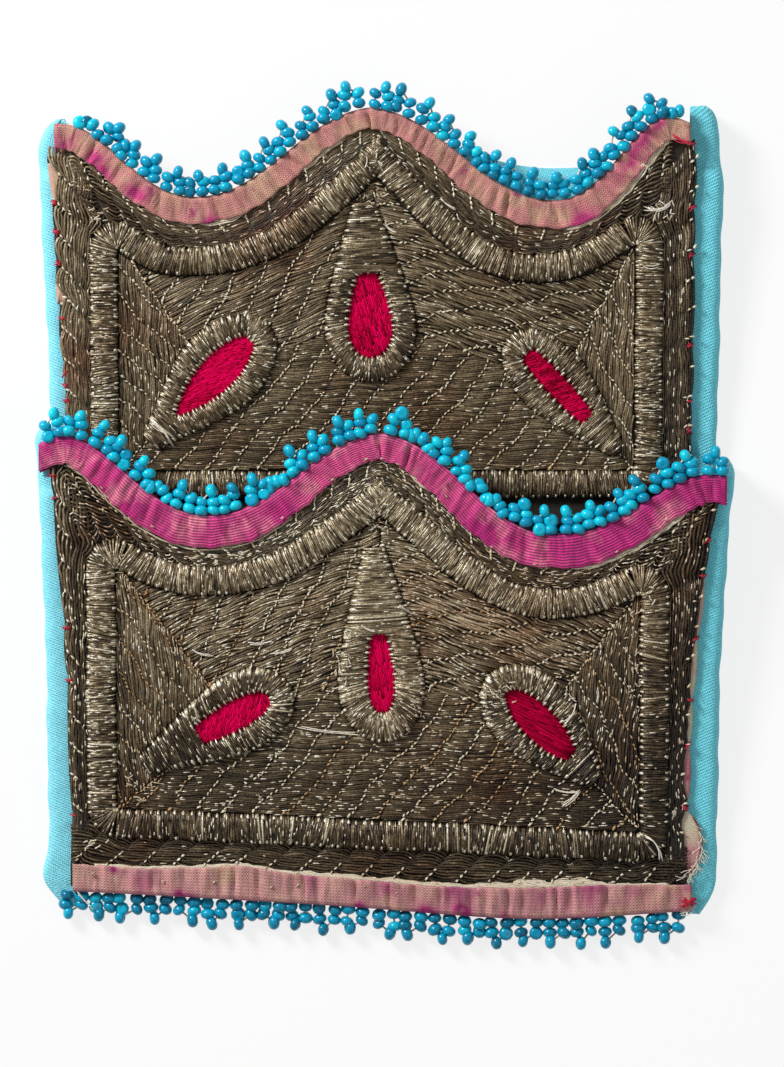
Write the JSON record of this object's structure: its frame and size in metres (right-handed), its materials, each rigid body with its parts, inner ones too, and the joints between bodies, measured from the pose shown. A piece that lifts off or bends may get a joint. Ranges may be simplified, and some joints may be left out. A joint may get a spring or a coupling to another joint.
{
  "type": "beaded embroidered pouch",
  "caption": "Flat two-tier cloth pouch: two open pockets with scalloped, silk-bound mouths, metal-thread embroidery, silk leaves, folded cotton gussets and looped bead edging.",
  "frame": {"origin": "middle of the outline, on the flat back that the pouch lies on", "axes": "+X to the right of the front, +Y up to the upper mouth, +Z out of the front"},
  "size_m": [0.1224, 0.1522, 0.0124],
  "materials": {
    "cotton": "plain woven turquoise cotton",
    "laid_thread": "tarnished metal thread laid and couched on cloth",
    "satin_thread": "tarnished metal thread in padded satin stitch",
    "leaf_silk": "magenta silk floss in satin stitch",
    "bright_silk": "gathered magenta silk ribbon",
    "faded_silk": "gathered silk ribbon faded to dusty pink",
    "bead_glass": "glossy opaque turquoise seed beads"
  },
  "bodies": {
    "root": {"back_cloth": "cotton", "upper_gusset_left": "cotton", "upper_gusset_right": "cotton", "lower_gusset_left": "cotton", "lower_gusset_right": "cotton", "upper_panel": "laid_thread", "lower_panel": "laid_thread", "upper_ridge_top_left": "satin_thread", "upper_ridge_top_right": "satin_thread", "upper_ridge_left": "satin_thread", "upper_ridge_right": "satin_thread", "upper_ridge_bottom": "satin_thread", "lower_ridge_top_left": "satin_thread", "lower_ridge_top_right": "satin_thread", "lower_ridge_left": "satin_thread", "lower_ridge_right": "satin_thread", "lower_ridge_bottom": "satin_thread", "upper_satin_band_left": "satin_thread", "upper_satin_band_centre": "satin_thread", "upper_satin_band_right": "satin_thread", "lower_satin_band_left": "satin_thread", "lower_satin_band_centre": "satin_thread", "lower_satin_band_right": "satin_thread", "upper_silk_leaf_left": "leaf_silk", "upper_silk_leaf_centre": "leaf_silk", "upper_silk_leaf_right": "leaf_silk", "lower_silk_leaf_left": "leaf_silk", "lower_silk_leaf_centre": "leaf_silk", "lower_silk_leaf_right": "leaf_silk", "upper_edge_binding": "faded_silk", "lower_edge_binding": "bright_silk", "bottom_edge_binding": "faded_silk", "upper_bead_edging": "bead_glass", "lower_bead_edging": "bead_glass", "bottom_bead_edging": "bead_glass"}
  },
  "joints": []
}
